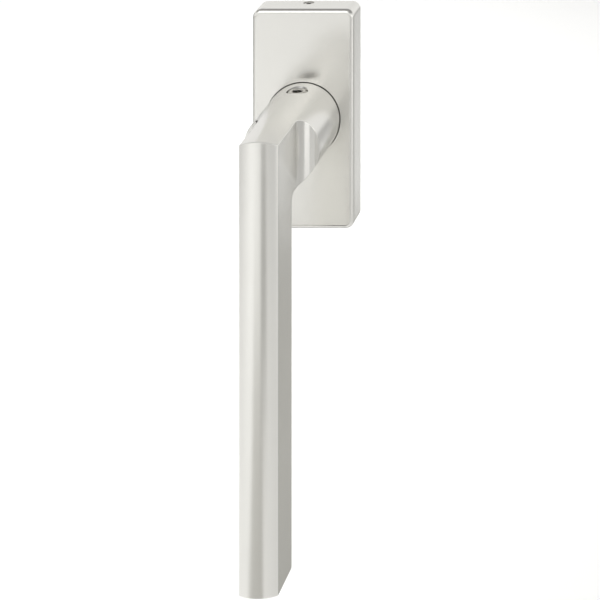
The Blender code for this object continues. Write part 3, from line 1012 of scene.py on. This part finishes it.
lid_screw_low, lid_screw_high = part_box("back_plate_screw_upper_right")
lid_screw_length = lid_screw_high.y - lid_screw_low.y
lid_screw_head = (lid_screw_high.x - lid_screw_low.x) / 2
LID_SCREW_RADIUS = 0.0010
LID_SCREW_PITCH = 0.0004
lid_screw_recess = (0.0010, 0.00025, 0.0009)  # reach, half width and depth
for across, x in (("left", -PLATE_SCREW_AT[0]), ("right", PLATE_SCREW_AT[0])):
    for up, z in (("upper", PLATE_SCREW_AT[1]), ("lower", -PLATE_SCREW_AT[1])):
        lid_screw = countersunk_screw(
            f"lid_screw_{up}_{across}",
            LID_SCREW_RADIUS,
            LID_SCREW_PITCH,
            lid_screw_head,
            lid_screw_length,
            lid_screw_recess,
        )
        put(lid_screw, (x, lid_screw_high.y, z), (math.pi, 0, 0))
        fit(
            lid_screw,
            plated,
            "rosette",
            "zinc_plated_steel",
            f"back_plate_screw_{up}_{across}",
        )

# --- Bearing bush ---------------------------------------------------------------------------
# Flanged bush moulded from grey polyamide, pressed into the base plate's web. The neck's
# journal turns in it without metal on metal.

bush_low, bush_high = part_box("bearing_bush")
bush_bore = JOURNAL_RADIUS + 0.0001
bush_rim, bore_rim = 0.0002, 0.0003
flange_back = BASE_FRONT - 0.0001
bush = turned(
    "moulded_bush",
    [
        (bush_bore + bore_rim, bush_low.y),
        (bush_high.x - bush_rim, bush_low.y),
        (bush_high.x, bush_low.y + bush_rim),
        (bush_high.x, flange_back),
        (bush_radius, flange_back),
        (bush_radius, bush_high.y - bush_rim),
        (bush_radius - bush_rim, bush_high.y),
        (bush_bore + bore_rim, bush_high.y),
        (bush_bore, bush_high.y - bore_rim),
        (bush_bore, bush_low.y + bore_rim),
    ],
)
grease_half, grease_depth = 0.0006, 0.0076
for turn in range(4):
    groove_low = (-grease_half, -0.01, bush_bore - PAST)
    groove = block("grease_groove", groove_low, (grease_half, 0, grease_depth))
    cut(bush, put(groove, (0, 0, 0), (0, math.radians(45) + turn * math.tau / 4, 0)))
smooth(bush)
fit(bush, polyamide, "rosette", "polyamide", "bearing_bush")

# --- Click mechanism ------------------------------------------------------------------------
# A square spring steel cam on the journal meets two leaf springs at every quarter turn. A wave
# washer takes up the play, and a retaining ring in the journal's groove holds the stack. All
# are stamped from hardened strip, deburred and oiled.


def oiled_spring_steel():
    """Hardened and tempered strip, oiled: dark blue grey, with faint rolling lines.

    It gives the eye a dark metal with soft streaks and a slight wet gloss.
    """
    material = new_material("oiled_spring_steel")
    place = add_node(material, "ShaderNodeTexCoord").outputs["Object"]
    stretched = add_node(material, "ShaderNodeMapping", Vector=place, Scale=(1.0, 1.0, 0.08))
    # Rolling lines 0.25 mm apart, up and down the strip.
    lines = add_node(
        material, "ShaderNodeTexNoise", Vector=stretched.outputs["Vector"], Scale=1 / 0.00025
    )
    tone = add_node(
        material,
        "ShaderNodeMix",
        {"data_type": "RGBA"},
        Factor=lines.outputs["Fac"],
        _6=colour("6f747b"),
        _7=colour("8b9096"),
    )
    rough = add_node(
        material, "ShaderNodeMapRange", Value=lines.outputs["Fac"], To_Min=0.22, To_Max=0.4
    )
    bump = add_node(
        material, "ShaderNodeBump", Height=lines.outputs["Fac"], Strength=0.1, Distance=0.00003
    )
    shine(
        material,
        Base_Color=tone.outputs[2],
        Metallic=1.0,
        Roughness=rough.outputs["Result"],
        Normal=bump.outputs["Normal"],
        Coat_Weight=0.3,
        Coat_Roughness=0.1,
    )
    return material


spring_steel = oiled_spring_steel()
cam_low, cam_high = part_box("detent_cam")
cam_corner = 0.01025
key_play = 0.0001
cam = round_bar("square_cam", cam_corner, cam_low.y, cam_high.y, sides=192)
flats = block("flats", (cam_low.x, -0.01, cam_low.z), (cam_high.x, 0, cam_high.z))
combine(cam, "INTERSECT", flats)
keyed = round_bar("keyed", JOURNAL_RADIUS + key_play, -0.01, PAST, sides=128)
key_half = JOURNAL_FLAT + key_play
combine(keyed, "INTERSECT", block("key_flats", (-key_half, -0.02, -0.02), (key_half, 0.02, 0.02)))
cut(cam, keyed)
merge_close(cam, 2e-5)
bevel_edges(cam, 0.00015, 2, lambda edge: sharp(edge, 60))
smooth(cam)
fit(cam, spring_steel, "lever", "spring_steel", "detent_cam")

washer_low, washer_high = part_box("wave_washer")
strip = 0.00018
spring_room = 0.00005
wave = washer_high.y - washer_low.y - strip - spring_room
wave_reach = 0.0068
washer_bore = JOURNAL_RADIUS + 0.0003
washer = turned(
    "wavy_washer",
    [
        (washer_bore, washer_low.y),
        (washer_high.x, washer_low.y),
        (washer_high.x, washer_low.y + strip),
        (washer_bore, washer_low.y + strip),
    ],
)
crest_radius = 0.0014
for crest in range(3):
    angle = crest * math.tau / 3
    middle = Vector((math.cos(angle), 0, math.sin(angle))) * (washer_bore + washer_high.x) / 2
    pick(
        washer,
        "VERT",
        lambda vert: math.hypot(vert.co.x - middle.x, vert.co.z - middle.z) < crest_radius,
    )
    bpy.ops.transform.translate(
        value=(0, wave, 0),
        use_proportional_edit=True,
        proportional_edit_falloff="SMOOTH",
        proportional_size=wave_reach,
    )
    bpy.ops.object.mode_set(mode="OBJECT")
smooth(washer)
fit(washer, spring_steel, "lever", "spring_steel", "wave_washer")

ring_low, ring_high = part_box("retaining_ring")
ring_shift = 0.0002  # the ring is thinner towards its opening
opening_half = 0.0030
lug_radius, eye_radius = 0.0013, 0.0006
circlip = round_bar("circlip", ring_high.x, ring_low.y, ring_high.y, sides=120)
bore = round_bar("bore", GROOVE_RADIUS + 0.00005, -0.01, 0.01, (0, ring_shift), sides=120)
cut(circlip, bore)
cut(circlip, block("opening", (-opening_half, -0.01, -0.012), (opening_half, 0.01, 0)))
for side in (-1, 1):
    lug_at = (side * 0.0043, -0.0070)
    lug = round_bar("lug", lug_radius, ring_low.y, ring_high.y, lug_at, sides=48)
    weld(circlip, lug)
    cut(circlip, round_bar("eye", eye_radius, -0.01, 0.01, lug_at, sides=32))
merge_close(circlip, 3e-5)
bevel_edges(circlip, 0.00006, 1, lambda edge: sharp(edge, 60))
smooth(circlip)
fit(circlip, spring_steel, "lever", "spring_steel", "retaining_ring")

for hand in ("left", "right"):
    leaf_low, leaf_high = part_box(f"detent_spring_{hand}")
    leaf = block(f"leaf_spring_{hand}", leaf_low, leaf_high)
    # The four corners of the strip, along its thickness.
    bevel_edges(
        leaf, 0.0006, 4, lambda edge: abs(edge.verts[0].co.x - edge.verts[1].co.x) > 0.0003
    )
    bevel_edges(leaf, 0.00008, 2, lambda edge: sharp(edge, 60))
    smooth(leaf)
    fit(leaf, spring_steel, "rosette", "spring_steel", f"detent_spring_{hand}")

# --- Fixing screws --------------------------------------------------------------------------
# Two M5 countersunk machine screws, 40 mm long, with a cross recess, zinc plated. They pass
# through the base plate and the window frame into the gear, 43 mm apart.

SCREW_PITCH = 0.0008
screw_recess = (0.0024, 0.00055, 0.0024)  # reach, half width and depth
for up, level in (("upper", SCREW_HEIGHT), ("lower", -SCREW_HEIGHT)):
    screw_low, screw_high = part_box(f"{up}_fixing_screw")
    screw = countersunk_screw(
        f"window_screw_{up}",
        SCREW_RADIUS,
        SCREW_PITCH,
        screw_high.x,
        screw_high.y - screw_low.y,
        screw_recess,
    )
    put(screw, (0, screw_low.y, level))
    fit(screw, plated, "rosette", "zinc_plated_steel", f"{up}_fixing_screw")

# --- Support sleeves ------------------------------------------------------------------------
# Two spigots moulded from grey polyamide round the fixing screws. They fill the 10 mm holes in
# the window frame and take the turning force. Thin ribs are crushed as they are pushed in.

rib_rise = 0.0002
rib_radius, rib_end_radius = 0.00045, 0.00035
lead_in = 0.0005
bore = SCREW_RADIUS + 0.0002
wall = SLEEVE_RADIUS - rib_rise
for up, level in (("upper", SCREW_HEIGHT), ("lower", -SCREW_HEIGHT)):
    sleeve_low, sleeve_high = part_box(f"{up}_support_sleeve")
    sleeve = turned(
        f"spigot_{up}",
        [
            (bore + 0.0002, sleeve_low.y),
            (wall - 0.0002, sleeve_low.y),
            (wall, sleeve_low.y + 0.0002),
            (wall, sleeve_high.y - lead_in),
            (wall - lead_in, sleeve_high.y),
            (bore + 0.0003, sleeve_high.y),
            (bore, sleeve_high.y - 0.0003),
            (bore, sleeve_low.y + 0.0002),
        ],
    )
    for turn in range(8):
        rib = round_bar(
            "crush_rib",
            rib_radius,
            0.0001,
            sleeve_high.y - lead_in - 0.0003,
            (0, SLEEVE_RADIUS - rib_radius),
            sides=24,
            end_radius=rib_end_radius,
        )
        weld(sleeve, put(rib, (0, 0, 0), (0, turn * math.tau / 8, 0)))
    smooth(sleeve)
    put(sleeve, (0, 0, level))
    fit(sleeve, polyamide, "rosette", "polyamide", f"{up}_support_sleeve")
